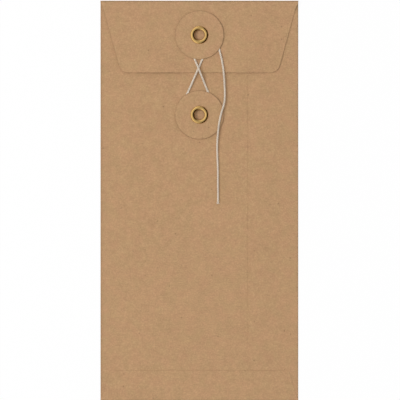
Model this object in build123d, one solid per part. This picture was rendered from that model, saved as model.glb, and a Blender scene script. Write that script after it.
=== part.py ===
from build123d import *
import math
import os

# A kraft paper envelope that a string ties shut round two buttons. It lies on its front panel.
# +X runs across it, +Y towards the crease of its closing flap, and +Z up from the table.
# Lengths are in millimetres and angles in degrees.

# Folded sheet
ENVELOPE_WIDTH = 109.0
ENVELOPE_LENGTH = 220.5
PAPER = 0.2
POCKET_GAP = 0.8
MOUTH_DROP = 2.2
FLAP_DEPTH = 39.5
FLAP_INSET = 0.5
FLAP_TAPER_DEG = 15.6
FLAP_CORNER_RADIUS = 5.2
BOTTOM_FLAP_DEPTH = 16.8
BOTTOM_CORNER_RADIUS = 2.0
CREASE_SLIT = 0.03

# Glued seams
SEAM_OFFSET = 26.45
SEAM_LAP = 12.0
SEAM_GROOVE = 0.2
SEAM_STEP_RUN = 1.6
GUM = 0.05
GUM_MARGIN = 1.0

# Tie buttons
UPPER_BUTTON_DROP = 19.0
BUTTON_SPACING = 43.95
DISC_DIAMETER = 26.8
DISC_THICKNESS = 0.3
SPIN_CLEARANCE = 0.05

# Eyelets
BORE_DIAMETER = 5.6
EYELET_WALL = 0.22
FLANGE_DIAMETER = 9.9
FLANGE_RISE = 0.6
FLANGE_ROLL_RADIUS = 1.0
CLINCH_ROLL_RADIUS = 0.42
CLINCH_TURN_DEG = 165
CLINCH_CLEARANCE = 0.12
PUNCH_CLEARANCE = 0.03
BEND_STEP_DEG = 24

# String, and how flat it is where a button presses on it
STRING_DIAMETER = 1.1
STRING_SIDES = 12
FLAT_WIDTH = 1.6
FLAT_HEIGHT = 0.4
LAY_CLEARANCE = 0.05
RIM_CLEARANCE = 0.65

# Windings, each as the distance of the string's middle from the button's middle
ANCHOR_TURNS = 1.25
ANCHOR_EXIT_RADIUS = 6.85
LOWER_ENTRY_RADIUS = 10.8
LOWER_EXIT_RADIUS = 9.1
RETURN_RADIUS = 7.4
TAIL_EXIT_RADIUS = 8.8
TAIL_EXIT_DEG = 13.3
WINDING_STEP_DEG = 90
LEAST_GAP = 0.4

# Free stretches of the string
EDGE_PAST = 0.8
LOWER_LANDING_RUN = 2.2
UPPER_LANDING_RUN = 1.0
HUMP_BEFORE = 1.2
HUMP_AFTER = 0.6
RUN_SHARE = 0.45
TAIL_ROUTE = [
    (12.5, 77.0, 2.66),
    (13.45, 70.3, 2.74),
    (13.8, 64.6, 2.33),
    (14.1, 58.9, 2.27),
    (13.8, 53.6, 2.6),
    (12.1, 48.6, 2.67),
    (10.85, 43.2, 2.65),
    (10.2, 37.2, 2.67),
    (9.7, 31.2, 1.93),
    (9.85, 24.6, 1.82),
    (10.2, 17.4, 1.8),
    (10.15, 9.8, 1.8),
    (10.3, 3.2, 1.81),
    (10.2, -1.8, 1.8),
]

# Levels of the layers above the table
back_bottom = PAPER + POCKET_GAP
back_top = back_bottom + PAPER
bottom_flap_level = back_top + GUM
clinch_height = CLINCH_ROLL_RADIUS + EYELET_WALL / 2
flap_bottom = back_top + clinch_height + CLINCH_CLEARANCE
flap_top = flap_bottom + PAPER
string_gap = FLAT_HEIGHT + 2 * LAY_CLEARANCE

# Creases and edges of the sheet
half_width = ENVELOPE_WIDTH / 2
half_length = ENVELOPE_LENGTH / 2
side_fold_radius = back_top / 2
bottom_fold_radius = (bottom_flap_level + PAPER) / 2
top_fold_radius = flap_top / 2
side_crease = half_width - side_fold_radius
bottom_crease = bottom_fold_radius - half_length
top_crease = half_length - top_fold_radius
flap_half_width = half_width - FLAP_INSET
flap_tip = half_length - FLAP_DEPTH
mouth = half_length - MOUTH_DROP

# Where the right side panel steps down under the left one
lap_edge = SEAM_OFFSET - SEAM_LAP
lap_bottom = back_bottom - GUM - PAPER
step_foot = SEAM_OFFSET + SEAM_GROOVE
step_head = step_foot + SEAM_STEP_RUN

# Places of the buttons
upper_y = half_length - UPPER_BUTTON_DROP
lower_y = upper_y - BUTTON_SPACING
barrel_radius = BORE_DIAMETER / 2 + EYELET_WALL
grip = PAPER + string_gap + DISC_THICKNESS + SPIN_CLEARANCE


def plate(outline, level, thickness):
    """A flat sheet of the given outline, standing on its level."""
    return extrude(Pos(0, 0, level) * outline, amount=thickness, dir=(0, 0, 1))


def fold(radius, origin, outward, along, run):
    """Half a tube of paper that bulges outward round a crease."""
    tube = Circle(radius) - Circle(radius - PAPER)
    outer_half = Rectangle(radius, 2 * radius, align=(Align.MIN, Align.CENTER))
    return extrude(Plane(origin, x_dir=outward, z_dir=along) * (tube & outer_half), amount=run)


def tapered_outline(crease, tip, corner_radius):
    """A flap's outline: it narrows from its crease to a free edge with round corners."""
    tip_half_width = flap_half_width - abs(tip - crease) * math.tan(math.radians(FLAP_TAPER_DEG))
    crease_corners = [(-flap_half_width, crease), (flap_half_width, crease)]
    tip_corners = [(tip_half_width, tip), (-tip_half_width, tip)]
    outline = Polygon(*crease_corners, *tip_corners, align=None)
    free_corners = [v for v in outline.vertices() if abs(v.Y - tip) < abs(v.Y - crease)]
    return fillet(free_corners, corner_radius)


def punched(outline, y):
    """An outline with the hole that an eyelet's barrel passes through."""
    return outline - Pos(0, y) * Circle(barrel_radius + PUNCH_CLEARANCE)


def front_panel():
    """Front of the pocket, a little wider above the mouth, where no side fold takes its edge."""
    right_side = [
        (side_crease, bottom_crease),
        (side_crease, mouth),
        (half_width, mouth),
        (half_width, top_crease),
    ]
    left_side = [(-x, y) for x, y in reversed(right_side)]
    return plate(Polygon(*right_side, *left_side, align=None), 0, PAPER)


def wide_back_panel():
    """Left side panel, folded over last, which carries the lower button and laps the right one."""
    corners = [
        (-side_crease, bottom_crease),
        (SEAM_OFFSET, bottom_crease),
        (SEAM_OFFSET, mouth),
        (-side_crease, mouth),
    ]
    return plate(punched(Polygon(*corners, align=None), lower_y), back_bottom, PAPER)


def right_strip(left_edge, right_edge):
    """Strip of the right side panel, given as the place and the level of its underside at both edges."""
    upperside = [(x, z + PAPER) for x, z in (right_edge, left_edge)]
    section = Polygon(left_edge, right_edge, *upperside, align=None)
    return extrude(Plane.XZ.offset(-mouth) * section, amount=mouth - bottom_crease)


def side_seam_gum():
    """Strip of gum between the two side panels."""
    width = SEAM_LAP - 2 * GUM_MARGIN
    run = mouth - bottom_crease - 2 * GUM_MARGIN
    strip = Rectangle(width, run, align=(Align.MAX, Align.MAX))
    return plate(Pos(SEAM_OFFSET - GUM_MARGIN, mouth - GUM_MARGIN) * strip, back_bottom - GUM, GUM)


def side_fold(side):
    """Fold between the front and one side panel, up to the mouth of the pocket."""
    origin = (side * side_crease, bottom_crease, side_fold_radius)
    return fold(side_fold_radius, origin, (side, 0, 0), (0, 1, 0), mouth - bottom_crease)


def end_fold(end, crease, radius):
    """Fold between the front and a flap, across the envelope."""
    return fold(radius, (-flap_half_width, crease, radius), (0, end, 0), (1, 0, 0), 2 * flap_half_width)


def bottom_flap_outline():
    return tapered_outline(bottom_crease, BOTTOM_FLAP_DEPTH - half_length, BOTTOM_CORNER_RADIUS)


def bottom_flap_gum():
    """Patch of gum that holds the bottom flap on the side panels."""
    return plate(offset(bottom_flap_outline(), amount=-GUM_MARGIN), back_top, GUM)


def closing_flap():
    """Top flap with slanted sides, which carries the upper button."""
    outline = tapered_outline(top_crease - CREASE_SLIT, flap_tip, FLAP_CORNER_RADIUS)
    return plate(punched(outline, upper_y), flap_bottom, PAPER)


def disc(y, surface):
    """Card disc that turns on an eyelet, as far above its sheet as the string below it needs."""
    ring = Circle(DISC_DIAMETER / 2) - Circle(barrel_radius + SPIN_CLEARANCE)
    return plate(Pos(0, y) * ring, surface + string_gap, DISC_THICKNESS)


def bend(middle, radius, start_deg, turn_deg):
    """Points of a bend in an eyelet's sheet, faceted in steps of a few degrees."""
    steps = math.ceil(abs(turn_deg) / BEND_STEP_DEG)
    angles = [math.radians(start_deg + turn_deg * i / steps) for i in range(steps + 1)]
    return [(middle[0] + radius * math.cos(a), middle[1] + radius * math.sin(a)) for a in angles]


def eyelet(y, underside):
    """Brass eyelet of one rolled sheet: flange over the disc, barrel, and clinch under the paper."""
    radius = barrel_radius - EYELET_WALL / 2
    crest = grip + FLANGE_RISE
    drop = FLANGE_RISE - EYELET_WALL / 2
    flange_turn = math.acos(1 - drop / FLANGE_ROLL_RADIUS)
    roll_reach = (FLANGE_ROLL_RADIUS + EYELET_WALL / 2) * math.sin(flange_turn)
    crest_end = FLANGE_DIAMETER / 2 - roll_reach
    roll_middle = (crest_end, crest - FLANGE_ROLL_RADIUS)
    clinch_middle = (radius + CLINCH_ROLL_RADIUS, 0)
    sheet_line = Polyline(
        *bend(clinch_middle, CLINCH_ROLL_RADIUS, 180 + CLINCH_TURN_DEG, -CLINCH_TURN_DEG),
        *bend((radius + FLANGE_RISE, grip), FLANGE_RISE, 180, -90),
        *bend(roll_middle, FLANGE_ROLL_RADIUS, 90, -math.degrees(flange_turn)),
    )
    section = trace(sheet_line, line_width=EYELET_WALL)
    return Pos(0, y, underside) * revolve(Plane.XZ * section, axis=Axis.Z)


def spiral_stations(middle, start_radius, end_radius, start_deg, sweep_deg):
    """Points and headings of a winding whose radius eases from its start to its end."""
    steps = math.ceil(abs(sweep_deg) / WINDING_STEP_DEG)
    sweep = math.radians(sweep_deg)
    stations = []
    for i in range(steps + 1):
        share = i / steps
        angle = math.radians(start_deg) + sweep * share
        radius = start_radius + (end_radius - start_radius) * share**2 * (3 - 2 * share)
        growth = (end_radius - start_radius) * 6 * share * (1 - share)
        out = Vector(math.cos(angle), math.sin(angle))
        round_it = Vector(-math.sin(angle), math.cos(angle))
        stations.append((middle + out * radius, (out * growth + round_it * radius * sweep).normalized()))
    return stations


def biarc(start, start_heading, end, end_heading):
    """Two arcs that leave start and reach end on the given headings and share a tangent between."""
    chord = end - start
    turn = 1 - start_heading.dot(end_heading)
    along = chord.dot(start_heading + end_heading)
    reach = (math.sqrt(along**2 + 2 * turn * chord.dot(chord)) - along) / (2 * turn)
    middle = (start + end + (start_heading - end_heading) * reach) / 2
    first = TangentArc(start, middle, tangent=start_heading)
    return [first, TangentArc(middle, end, tangent=first % 1)]


def winding_path(stations, lead_in, lead_out, level):
    """Arcs through the stations of a winding, with the straight leads that reach past the disc."""
    (first, first_heading), (last, last_heading) = stations[0], stations[-1]
    edges = [Line(first - first_heading * lead_in, first)] if lead_in else []
    for (start, start_heading), (end, end_heading) in zip(stations, stations[1:]):
        edges += biarc(start, start_heading, end, end_heading)
    edges.append(Line(last, last + last_heading * lead_out))
    return Pos(0, 0, level) * Wire(edges)


def least_gap(path):
    """Least clear distance of a flattened winding from its own other turns, measured on points."""
    count = math.ceil(path.length / (FLAT_WIDTH / 2))
    points = [path @ (i / count) for i in range(count + 1)]
    apart = math.ceil(count * 4 * FLAT_WIDTH / path.length)
    distances = [(points[j] - points[i]).length for i in range(count) for j in range(i + apart, count)]
    return min(distances) - FLAT_WIDTH


def string_section(width, height):
    """Faceted oval of the string's width and height."""
    angles = [math.tau * i / STRING_SIDES for i in range(STRING_SIDES)]
    corners = [(width / 2 * math.cos(a), height / 2 * math.sin(a)) for a in angles]
    return Polygon(*corners, align=None)


def winding(name, path):
    """Flattened string along a winding, with its least gap and its volume checked on paper."""
    heading = path % 0
    across = Vector(-heading.Y, heading.X, 0)
    section = string_section(FLAT_WIDTH, FLAT_HEIGHT)
    tube = sweep(Plane(path @ 0, x_dir=across, z_dir=heading) * section, path=path)
    gap = least_gap(path)
    share = tube.volume / (section.area * path.length)
    print(f"{name}: length {path.length:.1f}, least gap {gap:.2f}, volume share {share:.4f}")
    if gap < LEAST_GAP:
        print(f"{name}: turns closer than {LEAST_GAP}")
    return tube


def stretch(name, points):
    """Round string along straight runs, joined by the largest arcs that the runs allow."""
    points = [Vector(*p) for p in points]
    runs = [b - a for a, b in zip(points, points[1:])]
    radii = []
    for before, after in zip(runs, runs[1:]):
        half_turn = math.radians(before.get_angle(after)) / 2
        radii.append(RUN_SHARE * min(before.length, after.length) / math.tan(half_turn))
    path = FilletPolyline(*points, radius=radii)
    section = string_section(STRING_DIAMETER, STRING_DIAMETER)
    tube = sweep(Plane(path @ 0, z_dir=path % 0) * section, path=path)
    share = tube.volume / (section.area * path.length)
    rounded = [round(r, 1) for r in radii]
    print(f"{name}: length {path.length:.1f}, radii {rounded}, volume share {share:.4f}")
    return tube


def string_pieces():
    """The string from its anchor at the upper eyelet, round both buttons, to its bare end."""
    upper = Vector(0, upper_y)
    lower = Vector(0, lower_y)
    down_lean = math.asin((ANCHOR_EXIT_RADIUS + LOWER_ENTRY_RADIUS) / BUTTON_SPACING)
    up_lean = math.asin((LOWER_EXIT_RADIUS + RETURN_RADIUS) / BUTTON_SPACING)
    down_deg, up_deg = math.degrees(down_lean), math.degrees(up_lean)
    past_rim = DISC_DIAMETER / 2 + RIM_CLEARANCE

    def lead(radius):
        return math.sqrt(past_rim**2 - radius**2)

    anchor_radius = barrel_radius + LAY_CLEARANCE + FLAT_WIDTH / 2
    anchor_sweep = -360 * ANCHOR_TURNS
    anchor = spiral_stations(
        upper, anchor_radius, ANCHOR_EXIT_RADIUS, -down_deg - anchor_sweep, anchor_sweep
    )
    below = spiral_stations(
        lower, LOWER_ENTRY_RADIUS, LOWER_EXIT_RADIUS, 180 - down_deg, 180 + down_deg + up_deg
    )
    above = spiral_stations(
        upper, RETURN_RADIUS, TAIL_EXIT_RADIUS, 180 + up_deg, TAIL_EXIT_DEG - 180 - up_deg
    )
    flat_rise = LAY_CLEARANCE + FLAT_HEIGHT / 2
    round_rise = LAY_CLEARANCE + STRING_DIAMETER / 2
    anchor_path = winding_path(anchor, 0, lead(ANCHOR_EXIT_RADIUS), flap_top + flat_rise)
    below_path = winding_path(below, lead(LOWER_ENTRY_RADIUS), lead(LOWER_EXIT_RADIUS), back_top + flat_rise)
    above_path = winding_path(above, lead(RETURN_RADIUS), lead(TAIL_EXIT_RADIUS), flap_top + flat_rise)

    flap_level = flap_top + round_rise
    back_level = back_top + round_rise
    hump_level = flap_level + STRING_DIAMETER + LAY_CLEARANCE
    down_start, down_end = anchor_path @ 1, below_path @ 0
    up_start, up_end = below_path @ 1, above_path @ 0
    down, up = anchor_path % 1, below_path % 1

    def at(place, heading, distance, level):
        return (place.X + heading.X * distance, place.Y + heading.Y * distance, level)

    edge_distance = (flap_tip - EDGE_PAST - down_start.Y) / down.Y
    down_route = [
        at(down_start, down, 0, flap_level),
        at(down_start, down, edge_distance, flap_level + LAY_CLEARANCE),
        at(down_end, down, -LOWER_LANDING_RUN, back_level),
        at(down_end, down, 0, back_level),
    ]
    between = down_start - up_start
    crossing = (between.X * down.Y - between.Y * down.X) / (up.X * down.Y - up.Y * down.X)
    up_route = [
        at(up_start, up, 0, back_level),
        at(up_start, up, LOWER_LANDING_RUN, back_level),
        at(up_start, up, crossing - HUMP_BEFORE, hump_level),
        at(up_start, up, crossing + HUMP_AFTER, hump_level),
        at(up_end, up, -UPPER_LANDING_RUN, flap_level),
        at(up_end, up, 0, flap_level),
    ]
    tail_route = [at(above_path @ 1, above_path % 1, 0, flap_level), *TAIL_ROUTE]
    return {
        "string_anchor_turns": winding("string_anchor_turns", anchor_path),
        "string_downward_stretch": stretch("string_downward_stretch", down_route),
        "string_lower_loop": winding("string_lower_loop", below_path),
        "string_upward_stretch": stretch("string_upward_stretch", up_route),
        "string_upper_loop": winding("string_upper_loop", above_path),
        "string_tail": stretch("string_tail", tail_route),
    }


pieces = {
    "front_panel": front_panel(),
    "wide_back_panel": wide_back_panel(),
    "narrow_back_panel": right_strip((step_head, back_bottom), (side_crease, back_bottom)),
    "seam_step": right_strip((step_foot, lap_bottom), (step_head, back_bottom)),
    "seam_lap": right_strip((lap_edge, lap_bottom), (step_foot, lap_bottom)),
    "side_seam_gum": side_seam_gum(),
    "left_side_fold": side_fold(-1),
    "right_side_fold": side_fold(1),
    "bottom_fold": end_fold(-1, bottom_crease, bottom_fold_radius),
    "bottom_flap": plate(bottom_flap_outline(), bottom_flap_level, PAPER),
    "bottom_flap_gum": bottom_flap_gum(),
    "flap_fold": end_fold(1, top_crease, top_fold_radius),
    "closing_flap": closing_flap(),
    "upper_disc": disc(upper_y, flap_top),
    "lower_disc": disc(lower_y, back_top),
    "upper_eyelet": eyelet(upper_y, flap_bottom),
    "lower_eyelet": eyelet(lower_y, back_bottom),
    **string_pieces(),
}

os.makedirs("parts", exist_ok=True)
for name, piece in pieces.items():
    export_step(piece, f"parts/{name}.step")
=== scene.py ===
import math

import bpy
import numpy as np
from bpy.props import FloatProperty, FloatVectorProperty, IntProperty, PointerProperty
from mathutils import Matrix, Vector


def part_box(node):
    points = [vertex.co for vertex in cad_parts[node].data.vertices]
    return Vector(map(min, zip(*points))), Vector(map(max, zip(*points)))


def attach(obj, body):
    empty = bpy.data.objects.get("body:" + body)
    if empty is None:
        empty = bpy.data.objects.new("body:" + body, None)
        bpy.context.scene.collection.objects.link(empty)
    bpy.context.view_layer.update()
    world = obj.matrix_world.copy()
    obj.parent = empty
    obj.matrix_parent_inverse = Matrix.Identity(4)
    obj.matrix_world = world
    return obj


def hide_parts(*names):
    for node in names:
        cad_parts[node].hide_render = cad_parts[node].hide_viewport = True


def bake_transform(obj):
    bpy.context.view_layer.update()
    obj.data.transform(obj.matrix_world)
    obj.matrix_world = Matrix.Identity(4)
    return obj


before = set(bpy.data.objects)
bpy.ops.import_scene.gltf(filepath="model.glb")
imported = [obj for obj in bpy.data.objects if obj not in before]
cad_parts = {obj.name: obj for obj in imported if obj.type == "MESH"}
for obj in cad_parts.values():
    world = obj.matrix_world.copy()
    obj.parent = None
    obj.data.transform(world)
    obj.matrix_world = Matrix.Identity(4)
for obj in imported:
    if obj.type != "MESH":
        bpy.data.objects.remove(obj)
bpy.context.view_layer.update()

# A kraft paper envelope, tied shut by a cotton string round two card buttons. It lies on its front.
# +X runs across it, +Y towards the crease of its closing flap, and +Z up. Lengths are in metres.

bl_info = {
    "name": "String Tie Envelope",
    "version": (1, 0, 0),
    "blender": (4, 5, 0),
    "location": "View3D > Sidebar > Envelope",
    "description": "Makes a kraft paper envelope with card buttons, brass eyelets and a cotton string",
    "category": "Object",
}


def middle_of(box):
    """Middle of a box across and along the envelope."""
    low, high = box
    return np.array((low + high) / 2)[:2]


def half_width_of(box):
    """Half the width of a box across the envelope."""
    low, high = box
    return (high.x - low.x) / 2


def thickness_of(box):
    """Thickness of a box, from its lower face to its upper one."""
    low, high = box
    return high.z - low.z


# Places and levels that the parts in model.glb give
front_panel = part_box("front_panel")
wide_low, wide_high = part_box("wide_back_panel")
lap_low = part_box("seam_lap")[0]
bottom_low, bottom_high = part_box("bottom_flap")
flap_low, flap_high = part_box("closing_flap")
seam_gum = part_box("side_seam_gum")
bottom_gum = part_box("bottom_flap_gum")
discs = {name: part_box(f"{name}_disc") for name in ("upper", "lower")}
eyelets = {name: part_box(f"{name}_eyelet") for name in ("upper", "lower")}
paper = thickness_of(front_panel)
front_half = half_width_of(front_panel)
side_crease = -wide_low.x
bottom_crease = wide_low.y
mouth = wide_high.y
top_crease = front_panel[1].y
seam = wide_high.x
back_top = wide_high.z
upper_button = middle_of(discs["upper"])
lower_button = middle_of(discs["lower"])
disc_radius = half_width_of(discs["upper"])
flange_radius = half_width_of(eyelets["upper"])


def length(name, description, default):
    """A size that a user may change."""
    return FloatProperty(name=name, description=description, default=default, unit="LENGTH", precision=5)


def angle(name, description, degrees):
    """An angle that a user may change."""
    turn = math.radians(degrees)
    return FloatProperty(name=name, description=description, default=turn, subtype="ANGLE")


def number(name, description, default, **kind):
    """A power, a share or another number that a user may change."""
    return FloatProperty(name=name, description=description, default=default, **kind)


def colour(name, description, default):
    """A linear colour that a user may change."""
    return FloatVectorProperty(
        name=name, description=description, default=default, size=3, min=0, max=1, subtype="COLOR"
    )


class SheetSettings(bpy.types.PropertyGroup):
    """The folded kraft sheet and the card of its buttons"""

    taper: angle("Flap taper", "Lean of the slanted sides of both flaps", 15.6)
    flap_corner: length("Flap corner", "Radius of the closing flap's free corners", 0.0052)
    bottom_corner: length("Bottom corner", "Radius of the bottom flap's free corners", 0.002)
    swell: length("Swell", "How far the lower half of the back springs up", 0.0003)
    pinch: length("Pinch", "How far the back sinks to its side folds and its bottom fold", 0.00045)
    spring: length("Spring", "How far the closing flap's free edge rises beside the strings", 0.0009)
    flap_hold: number(
        "Flap hold",
        "Share of its height over the back that the flap loses at its slanted sides",
        0.66,
        min=0,
        max=1,
        subtype="FACTOR",
    )
    pressed_edge: length("Pressed edge", "Thickness of the glued sheets at their edges", 0.00012)
    pressed_width: length("Pressed width", "Width over which a glued edge thins", 0.004)
    punched: length("Punched hole", "Radius of the paper's holes for the eyelets", 0.00305)
    disc_hole: length("Disc hole", "Radius of a card disc's hole, which turns on its eyelet", 0.00308)
    card_rim: length("Card rim", "Radius of a card disc's rounded rim", 0.0001)
    card_droop: length("Card droop", "How far a card disc's rim bends down", 0.00006)
    tan: colour("Tan", "Greener clouds of the kraft paper", (0.481, 0.2975, 0.1525))
    rose: colour("Rose", "Warmer clouds of the kraft paper", (0.499, 0.292, 0.1555))
    pulp: colour("Pulp", "Pale grains in the kraft paper", (0.72, 0.56, 0.38))
    gum: colour("Gum", "Dried gum of the glued seams", (0.5, 0.36, 0.2))


class StringSettings(bpy.types.PropertyGroup):
    """The cotton string"""

    full_length: length("Length", "Length of the string from its anchor to its bare end", 0.2856)
    diameter: length("Diameter", "Diameter where nothing presses on it", 0.0011)
    flat_width: length("Flat width", "Width under a button", 0.0012)
    flat_height: length("Flat height", "Height under a button", 0.0004)
    lay: length("Lay", "Run in which a ply goes once round", 0.0036)
    plies: IntProperty(name="Plies", description="Number of twisted plies", default=3, min=2)
    cotton: colour("Cotton", "Undyed cotton", (0.757, 0.66, 0.545))


class EyeletSettings(bpy.types.PropertyGroup):
    """The rolled brass eyelets"""

    bore: length("Bore", "Radius of the bore", 0.0028)
    wall: length("Wall", "Thickness of the brass sheet", 0.00022)
    throat: length("Throat", "Width of the throat between barrel and flange", 0.00085)
    flange_rise: length("Flange rise", "Height of the throat and the flange", 0.0006)
    flange_roll: length("Flange roll", "Radius of the flange's rolled rim", 0.001)
    clinch_roll: length("Clinch roll", "Radius of the roll under the paper", 0.00042)
    clinch_turn: angle("Clinch turn", "How far the clinch is rolled round", 165)
    brass: colour("Brass", "Polished brass", (0.64, 0.41, 0.15))


class StageSettings(bpy.types.PropertyGroup):
    """Camera, lamps and surroundings"""

    view_width: length("View width", "Width of the picture at the envelope", 0.22045)
    view_x: length("View X", "Middle of the picture across the envelope", 0.00034)
    view_y: length("View Y", "Middle of the picture along the envelope", 0.00038)
    lens: number("Lens", "Focal length of the camera", 250, unit="CAMERA")
    lamp_distance: length("Lamp distance", "Distance of the lamp at the left", 3)
    lamp_size: length("Lamp size", "Width of the lamp at the left", 1.5)
    lamp_height: angle("Lamp height", "Height of the lamp above the table", 53)
    lamp_turn: angle("Lamp turn", "Turn of the lamp from the left side towards the top", 3)
    lamp_power: number("Lamp power", "Power of the lamp at the left", 44, unit="POWER")
    overhead_height: length("Overhead height", "Distance of the overhead lamp", 3)
    overhead_lean: angle("Overhead lean", "Lean of the overhead lamp towards the top", 6)
    overhead_size: length("Overhead size", "Width of the overhead lamp", 2)
    overhead_power: number("Overhead power", "Power of the overhead lamp", 20, unit="POWER")
    sky: number("Surroundings", "Strength of the light all round", 0.42)
    mirrored: number("Mirrored light", "Strength of the brightest light that metal mirrors", 1.25)
    mirrored_turn: angle("Mirrored turn", "Turn of that light from the left side towards the top", 6)
    shine: colour("Shine", "Tint of the light that metal mirrors", (0.97, 0.96, 0.93))
    gloom: colour("Gloom", "Tint of the dim side that metal mirrors", (0.01, 0.006, 0.002))
    floor: length("Floor", "Half width of the floor", 5)


# Shapes as whole arrays

SHARP_DEGREES = 40
ROUND_STEPS = 160
CUTTER_STEPS = 96


def smooth(share):
    """Smooth step: three times the square less twice the cube of a share held between 0 and 1."""
    share = np.clip(share, 0, 1)
    return share * share * (3 - 2 * share)


def grid_faces(rows, columns, loop):
    """Quads between neighbouring rows and columns of a grid whose columns close on themselves, and also
    whose rows do where it is a loop, as indices of the grid's points."""
    index = np.arange(rows * columns).reshape(rows, columns)
    index = np.column_stack([index, index[:, 0]])
    if loop:
        index = np.vstack([index, index[0]])
    corners = (index[:-1, :-1], index[:-1, 1:], index[1:, 1:], index[1:, :-1])
    return np.stack(corners, axis=-1).reshape(-1, 4)


def outward(points, faces):
    """The faces as a list, turned round where their signed volume, a sixth of the summed triple products of
    the corners of their triangles, is negative."""
    a, b, c, d = (points.reshape(-1, 3)[faces[:, i]] for i in range(4))
    volume = np.einsum("ij,ij->", a, np.cross(b, c)) + np.einsum("ij,ij->", a, np.cross(c, d))
    return (faces[:, ::-1] if volume < 0 else faces).tolist()


def make_piece(name, points, faces, sharp_degrees=SHARP_DEGREES):
    """Object of a grid of points and a list of faces, at the origin, with smooth shading."""
    mesh = bpy.data.meshes.new(name)
    mesh.from_pydata(points.reshape(-1, 3).tolist(), [], faces)
    piece = bpy.data.objects.new(name, mesh)
    bpy.context.scene.collection.objects.link(piece)
    soften(piece, sharp_degrees)
    return piece


def soften(piece, sharp_degrees=SHARP_DEGREES):
    """Smooth shading, apart from edges that turn by more than the given angle."""
    piece.data.shade_smooth()
    piece.data.set_sharp_from_angle(angle=math.radians(sharp_degrees))


def slab(name, points, thickness):
    """Sheet about a middle surface. Each point of the grid goes half the thickness out along the surface's
    normal, the cross product of its two tangents, and half back. The outward points of a row and its
    backward points in reverse order make a closed ring, and quads close the first and the last ring."""
    normal = np.cross(np.gradient(points, axis=0), np.gradient(points, axis=1))
    normal /= np.linalg.norm(normal, axis=-1, keepdims=True)
    half = np.broadcast_to(thickness, points.shape[:2])[..., None] / 2 * normal
    rings = np.concatenate([points + half, (points - half)[:, ::-1]], axis=1)
    rows, columns = rings.shape[:2]
    left = np.arange(columns // 2 - 1)
    right = columns - 1 - left
    near = np.stack([left, right, right - 1, left + 1], axis=1)
    far = near[:, ::-1] + (rows - 1) * columns
    faces = np.concatenate([grid_faces(rows, columns, False), near, far])
    return make_piece(name, rings, outward(rings, faces))


def lathe(name, section, middle, steps=ROUND_STEPS):
    """A closed section of radii and heights, turned round a vertical axis in equal steps of angle."""
    turn = np.linspace(0, math.tau, steps, endpoint=False)[:, None]
    radius, height = section[None, :, 0], section[None, :, 1]
    x = middle[0] + radius * np.cos(turn)
    y = middle[1] + radius * np.sin(turn)
    points = np.stack([x, y, np.broadcast_to(height, x.shape)], axis=-1)
    return make_piece(name, points, outward(points, grid_faces(steps, len(section), True)))


def arc(middle, radius, start, sweep, count):
    """Points of an arc in equal steps of angle, as an array of two columns."""
    turn = start + sweep * np.linspace(0, 1, count)
    return np.column_stack([middle[0] + radius * np.cos(turn), middle[1] + radius * np.sin(turn)])


def punch(piece, middle, radius, top):
    """Cuts a round hole through a sheet whose upper face has a given level, from one thickness of paper
    above it to two below."""
    low, high = top - 2 * paper, top + paper
    post = np.array([(0, low), (radius, low), (radius, high), (0, high)])
    cutter = lathe("cutter", post, middle, CUTTER_STEPS)
    cut = piece.modifiers.new("hole", "BOOLEAN")
    cut.object = cutter
    cut.solver = "EXACT"
    whole = piece.data
    evaluated = piece.evaluated_get(bpy.context.evaluated_depsgraph_get())
    holed = bpy.data.meshes.new_from_object(evaluated)
    piece.modifiers.clear()
    piece.data = holed
    holed.name = piece.name
    bpy.data.meshes.remove(whole)
    bpy.data.meshes.remove(cutter.data)
    soften(piece)


def places_of(mesh):
    """All vertices of a mesh as an array of three columns."""
    places = np.empty(len(mesh.vertices) * 3, np.float32)
    mesh.vertices.foreach_get("co", places)
    return places.reshape(-1, 3)


def paint_wear_and_shade(piece, values):
    """Stores how dark the paper is at each vertex, from 0 to 1, for its material: partly wear, partly
    painted shade along folds, cut edges and rims.
    """
    attribute = piece.data.attributes.new("wear_and_shade", "FLOAT", "POINT")
    attribute.data.foreach_set("value", np.asarray(values, np.float32))


# Materials

PER_MM = 1000
WHITE = (1, 1, 1, 1)
NOISE_SPAN = (0.3, 0.7)


def plug(tree, node, inputs):
    """Links each input that is given a socket, and sets any other."""
    for key, value in inputs.items():
        if isinstance(value, bpy.types.NodeSocket):
            tree.links.new(value, node.inputs[key])
        else:
            node.inputs[key].default_value = value


def add(tree, kind, inputs=None, **settings):
    """A new node with its settings and its inputs."""
    node = tree.nodes.new(kind)
    for key, value in settings.items():
        setattr(node, key, value)
    plug(tree, node, inputs or {})
    return node


def mapping(tree, place, shift=(0, 0, 0), turn=0, scale=(1, 1, 1)):
    """A place that is scaled, turned about the upright axis and shifted."""
    inputs = {"Vector": place, "Location": shift, "Rotation": (0, 0, turn), "Scale": scale}
    return add(tree, "ShaderNodeMapping", inputs).outputs["Vector"]


def own_place(tree, shift=(0, 0, 0), turn=0, scale=(PER_MM, PER_MM, PER_MM)):
    """The place on the piece itself, in millimetres unless the scale differs."""
    return mapping(tree, add(tree, "ShaderNodeTexCoord").outputs["Object"], shift, turn, scale)


def noise(tree, place, scale, detail=2, distortion=0):
    """Value of a noise whose scale is in features per unit of its place."""
    inputs = {"Vector": place, "Scale": scale, "Detail": detail, "Distortion": distortion}
    return add(tree, "ShaderNodeTexNoise", inputs).outputs["Fac"]


def remap(tree, value, span, to=(0, 1)):
    """The value carried from one span to another and held within it."""
    inputs = {"Value": value, "From Min": span[0], "From Max": span[1], "To Min": to[0], "To Max": to[1]}
    return add(tree, "ShaderNodeMapRange", inputs).outputs["Result"]


def combine(tree, operation, first, second):
    """Two values put together by a mathematical operation."""
    return add(tree, "ShaderNodeMath", {0: first, 1: second}, operation=operation).outputs[0]


def mix(tree, factor, first, second, blend="MIX"):
    """Two colours mixed by a factor."""
    inputs = {0: factor, 6: first, 7: second}
    return add(tree, "ShaderNodeMix", inputs, data_type="RGBA", blend_type=blend).outputs[2]


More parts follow.
